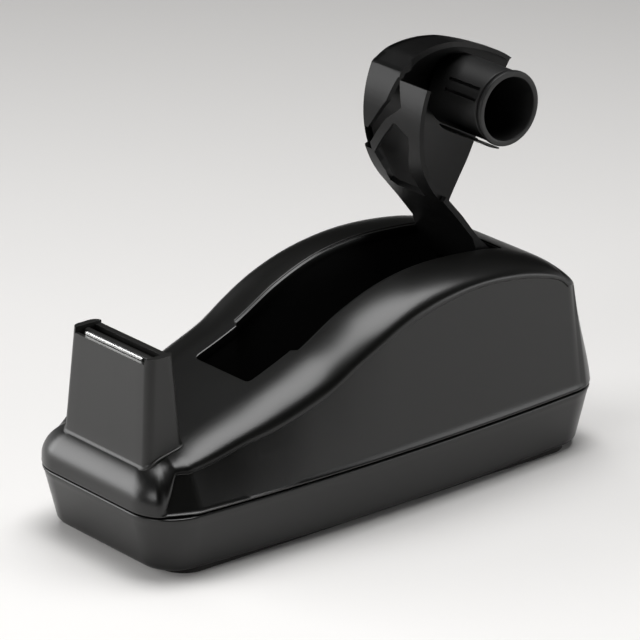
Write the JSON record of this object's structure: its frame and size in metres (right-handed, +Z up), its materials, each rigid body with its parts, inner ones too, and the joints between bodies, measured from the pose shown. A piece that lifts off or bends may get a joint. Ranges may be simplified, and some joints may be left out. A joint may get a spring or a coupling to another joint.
{
  "type": "tape dispenser",
  "caption": "Weighted desktop tape dispenser with a humped body, a toothed cutter head and a roll carrier that swings up out of its well.",
  "frame": {"origin": "under the middle of the body, on the surface the dispenser stands on", "axes": "+Y from the cutter to the back, +X across, +Z up"},
  "size_m": [0.0788, 0.1878, 0.1379],
  "materials": {
    "black_housing": "fine satin moulded texture",
    "carrier_black": "smooth satin",
    "well_black": "matte",
    "blade_steel": "bright rolled steel",
    "fastener_steel": "zinc plated",
    "ballast_iron": "as cast",
    "pad_rubber": "matte foam rubber"
  },
  "bodies": {
    "base": {"base_tray": "black_housing", "upper_housing": "black_housing", "cutter_head": "black_housing", "tape_rest": "black_housing", "roll_well": "well_black", "cutter_blade": "blade_steel", "housing_screw_1": "fastener_steel", "housing_screw_2": "fastener_steel", "housing_screw_3": "fastener_steel", "housing_screw_4": "fastener_steel", "head_screw_left": "fastener_steel", "head_screw_right": "fastener_steel", "hinge_pin": "fastener_steel", "pin_clip_left": "fastener_steel", "pin_clip_right": "fastener_steel", "ballast_front": "ballast_iron", "ballast_rear": "ballast_iron", "ballast_left": "ballast_iron", "ballast_right": "ballast_iron", "non_skid_pad": "pad_rubber", "open_stop_bumper": "pad_rubber"},
    "carrier": {"roll_carrier": "carrier_black", "hub_spindle": "fastener_steel", "hub_screw": "fastener_steel", "hub_washer": "fastener_steel"},
    "hub": {"roll_hub": "carrier_black", "core_grip_spring": "carrier_black"}
  },
  "joints": [
    {"name": "carrier_hinge", "type": "hinge", "parent": "base", "child": "carrier", "pos_m": [0, 0.0586, 0.0665], "axis": [1, 0, 0], "range_deg": [0, 120]},
    {"name": "hub_spin", "type": "hinge", "parent": "carrier", "child": "hub", "pos_m": [0, 0.0667, 0.11775], "axis": [1, 0, 0], "continuous": true}
  ]
}
